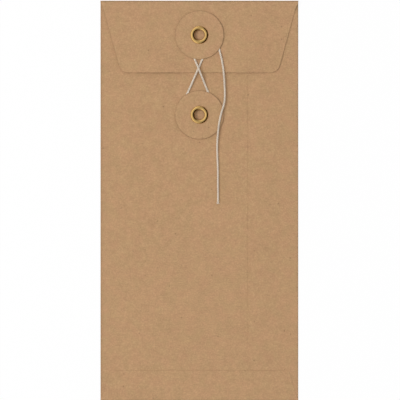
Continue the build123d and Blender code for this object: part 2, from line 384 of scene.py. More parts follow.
def shade(tree, tint, value):
    """A colour times a grey value."""
    grey = add(tree, "ShaderNodeCombineColor", {"Red": value, "Green": value, "Blue": value})
    return mix(tree, 1, tint, grey.outputs["Color"], "MULTIPLY")


def vary(tree, tint, value, shades):
    """A colour times a grey that goes from one shade to another over the usual span of a noise."""
    return shade(tree, tint, remap(tree, value, NOISE_SPAN, shades))


def bump(tree, height, distance):
    """Surface normal of a height whose full range is the given distance."""
    return add(tree, "ShaderNodeBump", {"Height": height, "Distance": distance}).outputs["Normal"]


def new_material(name):
    """A material with its node tree and its surface shader."""
    material = bpy.data.materials.new(name)
    material.use_nodes = True
    return material, material.node_tree, material.node_tree.nodes["Principled BSDF"]


def opaque(linear):
    """A colour with its alpha."""
    return (*linear, 1)


# Kraft paper: how each piece's pattern is shifted in millimetres and turned, so that no two are alike, then
# features per millimetre, spans of a noise or of a cell's random value, and shades

PATTERN_PLACES = {
    "pocket": ((3.1, 1.7, 0), 0),
    "bottom_flap": ((-2.3, 4.4, 0), 0.04),
    "closing_flap": ((5.2, -3.6, 0), math.pi),
    "upper_disc": ((0.7, -2.1, 0), 0.7),
    "lower_disc": ((2.2, -6.6, 0), 2.2),
}
CLOUD_SCALE = 0.17
CLOUD_SPAN = (0.36, 0.64)
PATCH_SCALE = 0.11
PATCH_SHADES = (0.98, 1.02)
MOTTLE_SCALE = 0.4
MOTTLE_SHADES = (0.955, 1.045)
GRAIN_SCALE = 1.3
GRAIN_SHADES = (0.9, 1.06)
PULP_SPAN = (0.5, 0.75)
PULP_SHARE = 0.1
FIBRE_TURNS = (0.35, 1.4, 2.5)
FIBRE_STRETCH = (0.35, 4.5, 1)
FIBRE_DISTORTION = 0.5
DARK_FIBRE_SPAN = (0.66, 0.74)
DARK_FIBRE_SHADE = -0.13
LIGHT_FIBRE_SPAN = (0.34, 0.26)
LIGHT_FIBRE_SHADE = 0.07
SPECK_SCALE = 0.3
SPECK_PICK_SPAN = (0.97, 0.975)
SPECK_SHRINK = 0.09
SPECK_RIM_SPAN = (0.09, 0.17)
SPECK_DEPTH = 0.3
# Darkest shade of creases, cut edges and rims: partly wear, partly painted shade
WEAR_AND_SHADE_TINT = 0.8
KRAFT_ROUGHNESS = (0.72, 0.9)
KRAFT_RELIEF = 0.00003
KRAFT_SPECULAR = 0.3


def fibres(tree, sheet):
    """Short fibres in three directions: a noise stretched along each gives dark and light streaks."""
    threads = 0
    for turn in FIBRE_TURNS:
        stretched = mapping(tree, sheet, turn=turn, scale=FIBRE_STRETCH)
        streak = noise(tree, stretched, 1, detail=1, distortion=FIBRE_DISTORTION)
        dark = remap(tree, streak, DARK_FIBRE_SPAN, (0, DARK_FIBRE_SHADE))
        light = remap(tree, streak, LIGHT_FIBRE_SPAN, (0, LIGHT_FIBRE_SHADE))
        threads = combine(tree, "ADD", threads, combine(tree, "ADD", dark, light))
    return threads


def specks(tree, sheet):
    """Shade of dark specks of several sizes, in the middles of a few cells picked at random."""
    inputs = {"Vector": sheet, "Scale": SPECK_SCALE}
    cells = add(tree, "ShaderNodeTexVoronoi", inputs, voronoi_dimensions="2D")
    random = add(tree, "ShaderNodeSeparateColor", {"Color": cells.outputs["Color"]}).outputs
    picked = remap(tree, random["Red"], SPECK_PICK_SPAN)
    shrunk = remap(tree, random["Green"], (0, 1), (0, SPECK_SHRINK))
    rim = combine(tree, "ADD", cells.outputs["Distance"], shrunk)
    depth = combine(tree, "MULTIPLY", picked, remap(tree, rim, SPECK_RIM_SPAN, (SPECK_DEPTH, 0)))
    return combine(tree, "SUBTRACT", 1, depth)


def kraft(name, settings):
    """Uncoated kraft paper: soft clouds of tan and rose, a fine grain, lighter and darker fibres, a few dark
    specks, and creases, cut edges and rims darkened, partly as wear and partly as painted shade."""
    material, tree, surface = new_material(f"kraft_{name}")
    sheet = own_place(tree, *PATTERN_PLACES[name])
    cloud = remap(tree, noise(tree, sheet, CLOUD_SCALE, detail=3), CLOUD_SPAN)
    tint = mix(tree, cloud, opaque(settings.tan), opaque(settings.rose))
    tint = vary(tree, tint, noise(tree, sheet, PATCH_SCALE, detail=1), PATCH_SHADES)
    tint = vary(tree, tint, noise(tree, sheet, MOTTLE_SCALE), MOTTLE_SHADES)
    grain = noise(tree, sheet, GRAIN_SCALE, detail=3)
    tint = vary(tree, tint, grain, GRAIN_SHADES)
    tint = mix(tree, remap(tree, grain, PULP_SPAN, (0, PULP_SHARE)), tint, opaque(settings.pulp))
    threads = fibres(tree, sheet)
    tint = shade(tree, tint, combine(tree, "ADD", threads, 1))
    tint = shade(tree, tint, specks(tree, sheet))
    # Darkened creases, cut edges and rims: partly wear, partly painted shade
    wear_and_shade = add(tree, "ShaderNodeAttribute", attribute_name="wear_and_shade").outputs["Fac"]
    inputs = {
        "Base Color": shade(tree, tint, remap(tree, wear_and_shade, (0, 1), (1, WEAR_AND_SHADE_TINT))),
        "Roughness": remap(tree, grain, NOISE_SPAN, KRAFT_ROUGHNESS),
        "Normal": bump(tree, combine(tree, "ADD", grain, threads), KRAFT_RELIEF),
        "Specular IOR Level": KRAFT_SPECULAR,
    }
    plug(tree, surface, inputs)
    return material


# Brass

TARNISH_SCALE = 0.5
TARNISH_SPAN = (0.4, 0.65)
TARNISH_SHADE = 0.86
MARK_SCALE = 6
BRASS_ROUGHNESS = (0.1, 0.16)
BRASS_RELIEF = 0.000002


def polished_brass(settings):
    """Polished brass with faint tarnish clouds and fine turning marks in its gloss."""
    material, tree, surface = new_material("polished_brass")
    place = own_place(tree)
    tarnish = remap(tree, noise(tree, place, TARNISH_SCALE, detail=3), TARNISH_SPAN)
    tarnished = tuple(TARNISH_SHADE * part for part in settings.brass)
    marks = noise(tree, place, MARK_SCALE, detail=3)
    inputs = {
        "Base Color": mix(tree, tarnish, opaque(settings.brass), opaque(tarnished)),
        "Metallic": 1,
        "Roughness": remap(tree, marks, NOISE_SPAN, BRASS_ROUGHNESS),
        "Normal": bump(tree, marks, BRASS_RELIEF),
    }
    plug(tree, surface, inputs)
    return material


# Cotton

YARN_SLANT = 0.5
YARN_STRETCH = (1.5, 14, 1)
YARN_DISTORTION = 0.3
YARN_SHADES = (0.84, 1.1)
SOIL_SCALE = 0.15
SOIL_SPAN = (0.35, 0.65)
SOIL_SHADES = (0.95, 1.03)
COTTON_ROUGHNESS = (0.95, 0.8)
COTTON_RELIEF = 0.00004
COTTON_SPECULAR = 0.2
COTTON_NAP = 0.25


def twisted_cotton(settings):
    """Undyed cotton: fine fibres that run along each ply on a slant, paler and darker, with a soft nap."""
    material, tree, surface = new_material("twisted_cotton")
    yarn = add(tree, "ShaderNodeUVMap", uv_map="yarn").outputs["UV"]
    slanted = mapping(tree, yarn, turn=YARN_SLANT, scale=YARN_STRETCH)
    fibre = noise(tree, slanted, 1, detail=3, distortion=YARN_DISTORTION)
    soil = remap(tree, noise(tree, own_place(tree), SOIL_SCALE), SOIL_SPAN, SOIL_SHADES)
    inputs = {
        "Base Color": shade(tree, vary(tree, opaque(settings.cotton), fibre, YARN_SHADES), soil),
        "Roughness": remap(tree, fibre, NOISE_SPAN, COTTON_ROUGHNESS),
        "Normal": bump(tree, fibre, COTTON_RELIEF),
        "Specular IOR Level": COTTON_SPECULAR,
        "Sheen Weight": COTTON_NAP,
    }
    plug(tree, surface, inputs)
    return material


# Gum

BRUSHED = (PER_MM, 90, PER_MM)
BRUSH_SCALE = 0.8
BRUSH_SHADES = (0.85, 1.1)
GUM_ROUGHNESS = (0.3, 0.55)
GUM_RELIEF = 0.00001


def dried_gum(settings):
    """Thin dried gum with brush streaks and glossy and dull patches."""
    material, tree, surface = new_material("dried_gum")
    streak = noise(tree, own_place(tree, scale=BRUSHED), BRUSH_SCALE, detail=4)
    inputs = {
        "Base Color": vary(tree, opaque(settings.gum), streak, BRUSH_SHADES),
        "Roughness": remap(tree, streak, NOISE_SPAN, GUM_ROUGHNESS),
        "Normal": bump(tree, streak, GUM_RELIEF),
    }
    plug(tree, surface, inputs)
    return material


def finish_piece(piece, material, slot, *nodes):
    """Gives a piece its material and hides the nodes that it stands for. The slot is not used."""
    piece.data.materials.clear()
    piece.data.materials.append(material)
    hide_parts(*nodes)


# Stage: the floor, whose gap is a share of the paper's thickness, and the light that metal mirrors, which
# goes from dim to bright between two leans towards its side and shows before a ray's first diffuse bounce

FLOOR_GAP_SHARE = 0.1
FLOOR_GRAIN_SCALE = 40
FLOOR_SHADES = (0.97, 0.98)
FLOOR_ROUGHNESS = 0.9
FLOOR_WHITE_SHARE = 0.92
DIM_LEAN = -0.45
BRIGHT_LEAN = 0.3
FIRST_BOUNCE_LIMIT = 0.5


def white_floor():
    """White floor. Lit and shaded as matt paper, mixed for the camera and mirrors with plain white."""
    material, tree, surface = new_material("white_floor")
    grain = noise(tree, own_place(tree, scale=(1, 1, 1)), FLOOR_GRAIN_SCALE)
    inputs = {
        "Base Color": vary(tree, WHITE, grain, FLOOR_SHADES),
        "Roughness": FLOOR_ROUGHNESS,
        "Specular IOR Level": 0,
    }
    plug(tree, surface, inputs)
    white = add(tree, "ShaderNodeEmission", {"Color": WHITE, "Strength": 1})
    ray = add(tree, "ShaderNodeLightPath").outputs
    seen = combine(tree, "MAXIMUM", ray["Is Camera Ray"], ray["Is Glossy Ray"])
    seen = combine(tree, "MAXIMUM", seen, ray["Is Transmission Ray"])
    share = combine(tree, "MULTIPLY", seen, FLOOR_WHITE_SHARE)
    inputs = {0: share, 1: surface.outputs["BSDF"], 2: white.outputs["Emission"]}
    both = add(tree, "ShaderNodeMixShader", inputs)
    tree.links.new(both.outputs["Shader"], tree.nodes["Material Output"].inputs["Surface"])
    return material


class ENVELOPE_OT_stage(bpy.types.Operator):
    """Set up the camera above the envelope, the white floor, two soft lamps and the light all round"""

    bl_idname = "envelope.stage"
    bl_label = "Set Up Stage"

    def execute(self, context):
        settings = context.scene.envelope_stage
        context.scene.view_settings.view_transform = "Standard"
        self.place_camera(context, settings)
        self.lay_floor(settings)
        self.hang_lamps(context, settings)
        self.light_surroundings(context, settings)
        return {"FINISHED"}

    def place_camera(self, context, settings):
        """Looks straight down from where the picture is as wide as the view."""
        camera = bpy.data.objects.new("camera", bpy.data.cameras.new("camera"))
        camera.data.lens = settings.lens
        distance = settings.view_width * settings.lens / camera.data.sensor_width
        camera.location = (settings.view_x, settings.view_y, back_top + distance)
        context.scene.collection.objects.link(camera)
        context.scene.camera = camera

    def lay_floor(self, settings):
        """One square just below the envelope."""
        corners = np.array([(-1, -1, 0), (1, -1, 0), (1, 1, 0), (-1, 1, 0)]) * settings.floor
        floor = make_piece("floor", corners - (0, 0, FLOOR_GAP_SHARE * paper), [(0, 1, 2, 3)])
        floor.data.materials.append(white_floor())

    def hang_lamps(self, context, settings):
        """A square lamp at the left and a larger one overhead. Both face the envelope."""
        flat = math.cos(settings.lamp_height)
        across, along = -flat * math.cos(settings.lamp_turn), flat * math.sin(settings.lamp_turn)
        place = Vector((across, along, math.sin(settings.lamp_height))) * settings.lamp_distance
        self.hang(context, "lamp", place, settings.lamp_size, settings.lamp_power)
        place = Vector((0, math.sin(settings.overhead_lean), math.cos(settings.overhead_lean)))
        place *= settings.overhead_height
        self.hang(context, "overhead", place, settings.overhead_size, settings.overhead_power)

    def hang(self, context, name, place, size, power):
        """One square lamp that faces the origin and that metal doesn't mirror."""
        lamp = bpy.data.objects.new(name, bpy.data.lights.new(name, "AREA"))
        lamp.data.energy = power
        lamp.data.size = size
        lamp.location = place
        lamp.rotation_mode = "QUATERNION"
        lamp.rotation_quaternion = (-place).to_track_quat("-Z", "Y")
        lamp.visible_glossy = False
        context.scene.collection.objects.link(lamp)

    def light_surroundings(self, context, settings):
        """Even light all round. Metal shows the camera a light at the left that falls off to a dim right
        side instead, and behind everything the camera sees white."""
        world = bpy.data.worlds.new("surroundings")
        world.use_nodes = True
        context.scene.world = world
        tree = world.node_tree
        direction = add(tree, "ShaderNodeTexCoord").outputs["Generated"]
        towards = (-math.cos(settings.mirrored_turn), math.sin(settings.mirrored_turn), 0)
        lean = add(tree, "ShaderNodeVectorMath", {0: direction, 1: towards}, operation="DOT_PRODUCT")
        near = remap(tree, lean.outputs["Value"], (DIM_LEAN, BRIGHT_LEAN))
        mirrored = mix(tree, near, opaque(settings.gloom), opaque(settings.shine * settings.mirrored))
        ray = add(tree, "ShaderNodeLightPath").outputs
        straight = combine(tree, "LESS_THAN", ray["Diffuse Depth"], FIRST_BOUNCE_LIMIT)
        shown = combine(tree, "MULTIPLY", ray["Is Glossy Ray"], straight)
        level = mix(tree, shown, opaque((settings.sky,) * 3), mirrored)
        level = mix(tree, ray["Is Camera Ray"], level, WHITE)
        tree.links.new(level, tree.nodes["Background"].inputs["Color"])


# String: its windings, then its leads past the discs' rims, over the flap's edge and over itself

WINDING_STEP = math.radians(22.5)
ANCHOR_TURN = math.radians(450)
ANCHOR_RADIUS = 0.00387
ANCHOR_EXIT_RADIUS = 0.00685
LOWER_ENTRY_RADIUS = 0.0108
LOWER_EXIT_RADIUS = 0.0091
RETURN_RADIUS = 0.0074
TAIL_EXIT_RADIUS = 0.0088
TAIL_EXIT_TURN = math.radians(13.3)
LAY_CLEARANCE = 0.00005
LEAD_POINT = 0.003
PAST_RIM = 0.0015
EDGE_BEFORE = 0.0016
EDGE_PAST = 0.0008
EDGE_RISE = 0.00008
LANDING_RUN = 0.0022
HUMP_BEFORE = 0.0012
HUMP_AFTER = 0.0006
TAIL_ROUTE = [
    (0.0125, 0.0770, 0.00266),
    (0.01345, 0.0703, 0.00274),
    (0.0138, 0.0646, 0.00233),
    (0.0141, 0.0589, 0.00227),
    (0.0138, 0.0536, 0.0026),
    (0.0121, 0.0486, 0.00267),
    (0.01085, 0.0432, 0.00265),
    (0.0102, 0.0372, 0.00267),
    (0.0097, 0.0312, 0.00193),
    (0.00985, 0.0246, 0.00182),
    (0.0102, 0.0174, 0.0018),
    (0.01015, 0.0098, 0.0018),
    (0.0103, 0.0032, 0.00181),
    (0.0102, -0.0018, 0.0018),
]
SPLINE_ORDER = 3
SPLINE_STEPS = 24
LINE_STEP = 0.00012
PLY_SIDES = 8
PLY_SHARP_DEGREES = 60
FRAY_RUN = 0.002


def winding(middle, start_radius, end_radius, start, sweep, level):
    """Control points of a winding in equal steps of angle. The radius eases smoothly from start to end, and
    is larger by as much as a quadratic spline cuts inside the corners of its control points."""
    steps = math.ceil(abs(sweep) / WINDING_STEP)
    share = np.linspace(0, 1, steps + 1)
    turn = start + sweep * share
    pull = (3 + math.cos(sweep / steps)) / 4
    radius = (start_radius + (end_radius - start_radius) * smooth(share)) / pull
    x = middle[0] + radius * np.cos(turn)
    y = middle[1] + radius * np.sin(turn)
    return np.column_stack([x, y, np.full(len(share), level)])


def lead(middle, radius, turn, sense, distances, levels):
    """Points on the tangent of a winding, at distances along the string's heading and at given levels."""
    out = np.array([math.cos(turn), math.sin(turn)])
    heading = np.array([-out[1], out[0]]) * sense
    flat = middle + out * radius + np.outer(distances, heading)
    return np.column_stack([flat, levels])


def rim_run(radius, past):
    """How far along its tangent a string at that radius gets to a given distance past a disc's rim."""
    return math.sqrt((disc_radius + past) ** 2 - radius**2)


def leaving(tangent, flat, level):
    """Points of a tangent on its way out from under a disc, where it is flat."""
    radius = tangent[1]
    runs = [LEAD_POINT, rim_run(radius, 0), rim_run(radius, PAST_RIM)]
    return lead(*tangent, runs, [flat, flat, level])


def arriving(tangent, flat, level):
    """Points of a tangent on its way in under a disc, where it is flat."""
    radius = tangent[1]
    runs = [-rim_run(radius, PAST_RIM), -rim_run(radius, 0), -LEAD_POINT]
    return lead(*tangent, runs, [level, flat, flat])


def first_step(tangent):
    """A tangent's start and its point one metre on, across and along the envelope."""
    return lead(*tangent, [0, 1], [0, 0])[:, :2]


def string_route(settings):
    """Control points of the whole string: turns round the upper barrel, down under the lower disc, round it,
    up over its own downward stretch, round the upper button and out as a loose tail."""
    spacing = upper_button[1] - lower_button[1]
    down = math.asin((ANCHOR_EXIT_RADIUS + LOWER_ENTRY_RADIUS) / spacing)
    up = math.asin((LOWER_EXIT_RADIUS + RETURN_RADIUS) / spacing)
    flap_flat = flap_high.z + LAY_CLEARANCE + settings.flat_height / 2
    back_flat = back_top + LAY_CLEARANCE + settings.flat_height / 2
    flap_round = flap_high.z + LAY_CLEARANCE + settings.diameter / 2
    back_round = back_top + LAY_CLEARANCE + settings.diameter / 2
    hump = flap_round + settings.diameter + LAY_CLEARANCE
    anchor = (upper_button, ANCHOR_EXIT_RADIUS, -down, -1)
    lower_in = (lower_button, LOWER_ENTRY_RADIUS, math.pi - down, 1)
    lower_out = (lower_button, LOWER_EXIT_RADIUS, up, 1)
    upper_in = (upper_button, RETURN_RADIUS, math.pi + up, -1)
    tail_out = (upper_button, TAIL_EXIT_RADIUS, TAIL_EXIT_TURN, -1)
    anchor_turns = winding(
        upper_button, ANCHOR_RADIUS, ANCHOR_EXIT_RADIUS, ANCHOR_TURN - down, -ANCHOR_TURN, flap_flat
    )
    lower_loop = winding(
        lower_button, LOWER_ENTRY_RADIUS, LOWER_EXIT_RADIUS, math.pi - down, math.pi + down + up, back_flat
    )
    upper_loop = winding(
        upper_button, RETURN_RADIUS, TAIL_EXIT_RADIUS, math.pi + up, TAIL_EXIT_TURN - math.pi - up, flap_flat
    )
    a, b = first_step(anchor)
    c, d = first_step(lower_out)
    edge = (flap_low.y - EDGE_PAST - a[1]) / (b[1] - a[1])
    crossing = np.linalg.solve(np.column_stack([d - c, a - b]), a - c)[0]
    over_edge = [edge - EDGE_BEFORE - EDGE_PAST, edge]
    landing = -rim_run(LOWER_ENTRY_RADIUS, PAST_RIM) - LANDING_RUN
    rising = rim_run(LOWER_EXIT_RADIUS, PAST_RIM) + LANDING_RUN
    over_itself = [rising, crossing - HUMP_BEFORE, crossing + HUMP_AFTER]
    return np.concatenate(
        [
            anchor_turns,
            leaving(anchor, flap_flat, flap_round),
            lead(*anchor, over_edge, [flap_round + EDGE_RISE] * 2),
            lead(*lower_in, [landing], [back_round]),
            arriving(lower_in, back_flat, back_round),
            lower_loop,
            leaving(lower_out, back_flat, back_round),
            lead(*lower_out, over_itself, [back_round, hump, hump]),
            arriving(upper_in, flap_flat, flap_round),
            upper_loop,
            leaving(tail_out, flap_flat, flap_round),
            TAIL_ROUTE,
        ]
    )


def spline_line(points):
    """Points along the smooth quadratic spline of the route, read from a curve with no thickness."""
    curve = bpy.data.curves.new("string_route", "CURVE")
    curve.dimensions = "3D"
    curve.resolution_u = SPLINE_STEPS
    spline = curve.splines.new("NURBS")
    spline.points.add(len(points) - 1)
    spline.points.foreach_set("co", np.column_stack([points, np.ones(len(points))]).ravel())
    spline.order_u = SPLINE_ORDER
    spline.use_endpoint_u = True
    route = bpy.data.objects.new("string_route", curve)
    line_mesh = bpy.data.meshes.new_from_object(route)
    line = places_of(line_mesh).astype(float)
    bpy.data.objects.remove(route)
    bpy.data.curves.remove(curve)
    bpy.data.meshes.remove(line_mesh)
    return line


def even_steps(line, step):
    """The line's points again, at even steps along it, and how far along each is."""
    along = np.concatenate([[0], np.cumsum(np.linalg.norm(np.diff(line, axis=0), axis=1))])
    even = np.linspace(0, along[-1], math.ceil(along[-1] / step) + 1)
    return np.column_stack([np.interp(even, along, line[:, i]) for i in range(3)]), even


def flatness(line):
    """How flat the string is at each point, from 0 to 1: it goes flat over the last stretch before a disc's
    rim, where it is lower than the disc."""
    flat = np.zeros(len(line))
    for box in discs.values():
        away = np.linalg.norm(line[:, :2] - middle_of(box), axis=1)
        under = smooth((disc_radius + PAST_RIM - away) / PAST_RIM)
        flat = np.maximum(flat, np.where(line[:, 2] < box[0].z, under, 0))
    return flat


def ply_share(plies):
    """Radius of one of several equal circles that touch in a ring, as a share of the circle round them."""
    return math.sin(math.pi / plies) / (1 + math.sin(math.pi / plies))


class ENVELOPE_OT_string(bpy.types.Operator):
    """Wind the cotton string round both buttons, of twisted plies that lie flat under the discs"""

    bl_idname = "envelope.string"
    bl_label = "Wind String"

    def execute(self, context):
        settings = context.scene.envelope_string
        line, along = even_steps(spline_line(string_route(settings)), LINE_STEP)
        string = self.twist(line, along, settings)
        finish_piece(
            string,
            twisted_cotton(settings),
            "cotton_string",
            "string_anchor_turns",
            "string_downward_stretch",
            "string_lower_loop",
            "string_upward_stretch",
            "string_upper_loop",
            "string_tail",
        )
        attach(string, "flap")
        return {"FINISHED"}

    def twist(self, line, along, settings):
        """Plies as tubes. A ply's middle goes round the string's line once in each lay, in a frame of the
        level side direction and the direction square to it, stretched to the string's width and height
        there. A ply's section is a circle in the same frame. At the bare end the plies spread a little."""
        tangent = np.gradient(line, axis=0)
        side = np.cross((0, 0, 1), tangent)
        side /= np.linalg.norm(side, axis=1, keepdims=True)
        rise = np.cross(tangent, side)
        rise /= np.linalg.norm(rise, axis=1, keepdims=True)
        flat = flatness(line)
        round_half = settings.diameter / 2
        wide = (round_half + (settings.flat_width / 2 - round_half) * flat)[:, None]
        high = (round_half + (settings.flat_height / 2 - round_half) * flat)[:, None]
        ply = ply_share(settings.plies)
        fray = 1 + smooth((along - along[-1] + FRAY_RUN) / FRAY_RUN)[:, None]
        turn = np.linspace(0, math.tau, PLY_SIDES, endpoint=False)[None, :]
        rings = []
        for i in range(settings.plies):
            twist = (math.tau * (along / settings.lay + i / settings.plies))[:, None]
            level = wide * ((1 - ply) * fray * np.cos(twist) + ply * np.cos(turn))
            upright = high * ((1 - ply) * np.sin(twist) + ply * np.sin(turn))
            tube = level[..., None] * side[:, None, :] + upright[..., None] * rise[:, None, :]
            rings.append(line[:, None, :] + tube)
        return self.tubes(np.stack(rings), along)

    def tubes(self, rings, along):
        """One object of a closed tube for each ply. Its rings run round the string's heading, so its quads
        face outwards, its first ring closes it in reverse order and its last ring in its own order."""
        plies, rows, columns = rings.shape[:3]
        index = np.arange(plies * rows * columns).reshape(plies, rows, columns)
        quads = (index[:, 0, 0][:, None, None] + grid_faces(rows, columns, False)).reshape(-1, 4)
        faces = quads.tolist() + index[:, 0, ::-1].tolist() + index[:, -1].tolist()
        string = make_piece("tie_string", rings, faces, PLY_SHARP_DEGREES)
        self.map_yarn(string.data, plies, columns, along)
        return string

    def map_yarn(self, mesh, plies, columns, along):
        """Each quad's corners take their distance along the string, in millimetres, and their share of the
        way round. The end caps have none."""
        row, column = np.meshgrid(np.arange(len(along) - 1), np.arange(columns), indexing="ij")
        corners = ((0, 0), (0, 1), (1, 1), (1, 0))
        u = np.stack([along[row + r] * PER_MM for r, _ in corners], axis=-1)
        v = np.stack([(column + c) / columns for _, c in corners], axis=-1)
        one = np.stack([u, v], axis=-1).reshape(-1, 2)
        values = np.zeros((len(mesh.loops), 2), np.float32)
        values[: plies * len(one)] = np.tile(one, (plies, 1))
        mesh.uv_layers.new(name="yarn").data.foreach_set("uv", values.ravel())


# Folded sheet: runs over which it bends, darkens with wear and painted shade and flares, then counts of rows
# and columns

SWELL_REACH = 0.105
PINCH_RUN = 0.02
SEAM_SLOPE = 0.008
GUM_CLEARANCE = 0.000005
FLARE_RUN = 0.0035
TIP_SHIFT = 0.00014
DROOP_RUN = 0.02
DROOP_START = 0.007
DROOP_LEAN = 0.16
HELD_MIDDLE = 0.005
HELD_HALF = 0.011
HELD_FADE = 0.012
SPRING_RUN = 0.03
FOLD_WEAR_AND_SHADE_RUN = 0.0004
FOLD_WEAR_AND_SHADE_INNER_SHARE = 0.5
# Share of the side folds' darkening on the right; the left fold's fuller darkening is painted shade
RIGHT_FOLD_SHADE_SHARE = 0.35
CUT_WEAR_AND_SHADE_RUN = 0.0003
RIM_WEAR_AND_SHADE_RUN = 0.00035
POCKET_ROWS = 120
PRESSED_STEPS = 16
WIDE_STEPS = 60
FRONT_STEPS = 40
NARROW_STEPS = 19
SLOPE_STEPS = 8
TUCK_STEPS = 12
LAP_STEPS = 6
FOLD_STEPS = 17
BOTTOM_ROWS = 14
BOTTOM_COLUMNS = 100
STRIP_ROWS = 5
FLAP_FOLD_STEPS = 25
FLAP_ROWS = 44
FLAP_COLUMNS = 110
CORNER_ROWS = 12
GUM_ROWS = 60
GUM_COLUMNS = 40


def swell(x, y, height):
    """How far the back springs up: the squared sine of the way along the lower half, times the square of one
    less the squared share of the way to the side creases."""
    along = np.clip((y - bottom_crease) / SWELL_REACH, 0, 1)
    across = np.clip(1 - (x / side_crease) ** 2, 0, 1)
    return height * np.sin(math.pi * along) ** 2 * across**2


def sink(x, y, depth):
    """How far the back lies lower towards its folds: smoothly over the last stretch to the bottom fold, and
    to the side folds, where it eases in from the mouth to the closing flap's free edge."""
    side = smooth((np.abs(x) - side_crease) / PINCH_RUN + 1) * smooth((mouth - y) / (mouth - flap_low.y))
    end = smooth((bottom_crease - y) / PINCH_RUN + 1)
    return depth * (1 - (1 - side) * (1 - end))


def bulge(x, y, settings):
    """How far the back lies higher than a flat one: its swell less its sinking."""
    return swell(x, y, settings.swell) - sink(x, y, settings.pinch)


def spring(x, y, height):
    """How far the closing flap rises: smoothly over the last stretch to its free edge, outside the strip
    that the strings hold down."""
    free = smooth((np.abs(x - HELD_MIDDLE) - HELD_HALF) / HELD_FADE)
    return height * free * smooth(1 - (y - flap_low.y) / SPRING_RUN)


def pressed(distance, settings):
    """Thickness of a glued sheet at a distance from its edge: it thins smoothly towards the edge."""
    thinned = paper - settings.pressed_edge
    return settings.pressed_edge + thinned * smooth(distance / settings.pressed_width)


class FlapOutline:
    """A flap that narrows evenly from its crease to its tip and has round corners there"""

    def __init__(self, crease, tip, half_width, corner, taper):
        self.crease = crease
        self.tip = tip
        self.half_width = half_width
        self.corner = corner
        self.taper = taper
        self.sense = math.copysign(1, tip - crease)

    def half_at(self, y):
        """Half width at a place along the envelope. It narrows evenly from the crease, where it flares to
        the width of the front, and near the tip follows the arc of the round corner, whose middle lies one
        radius inside both edges."""
        depth = np.abs(y - self.crease)
        flare = (front_half - self.half_width) * (1 - smooth(depth / FLARE_RUN))
        straight = self.half_width - depth * math.tan(self.taper) + flare
        tip_half = self.half_width - abs(self.tip - self.crease) * math.tan(self.taper)
        middle = tip_half - self.corner * (1 - math.sin(self.taper)) / math.cos(self.taper)
        inside = self.corner - np.abs(self.tip - y)
        round_part = middle + np.sqrt(np.clip(self.corner**2 - inside**2, 0, None))
        return np.where(inside > self.corner * math.sin(self.taper), round_part, straight)

    def rows(self, count):
        """Places of the rows: even steps to the round corners, then even steps of angle round them."""
        turn = np.linspace(self.taper, math.pi / 2, CORNER_ROWS)
        round_rows = self.tip - self.sense * self.corner * (1 - np.sin(turn))
        return np.concatenate([np.linspace(self.crease, round_rows[0], count)[:-1], round_rows])

    def grid(self, folded, rows, columns):
        """Places across and along the sheet, half widths of its rows and which rows lie past its folded
        ones, which have the width of the front. Columns follow the sine of even steps of angle."""
        flat = self.rows(rows)
        half = np.concatenate([np.full(len(folded), front_half), self.half_at(flat)])[:, None]
        x = half * np.sin(np.linspace(-math.pi / 2, math.pi / 2, columns))
        y = np.broadcast_to(np.concatenate([folded, flat])[:, None], x.shape)
        turned = (np.arange(len(x)) >= len(folded))[:, None]
        return x, y, half, turned

    def darken_edges(self, flap, darken_tip):
        """Darkens the flap's fold, its slanted cut edges and, where that is asked for, its tip: partly wear,
        partly painted shade.
        """
        x, y = places_of(flap.data)[:, :2].T
        cut = self.half_at(y) - np.abs(x)
        if darken_tip:
            cut = np.minimum(cut, self.sense * (self.tip - y))
        fold = smooth(self.sense * (self.crease - y) / FOLD_WEAR_AND_SHADE_RUN)
        paint_wear_and_shade(flap, np.maximum(fold, 1 - smooth(cut / CUT_WEAR_AND_SHADE_RUN)))


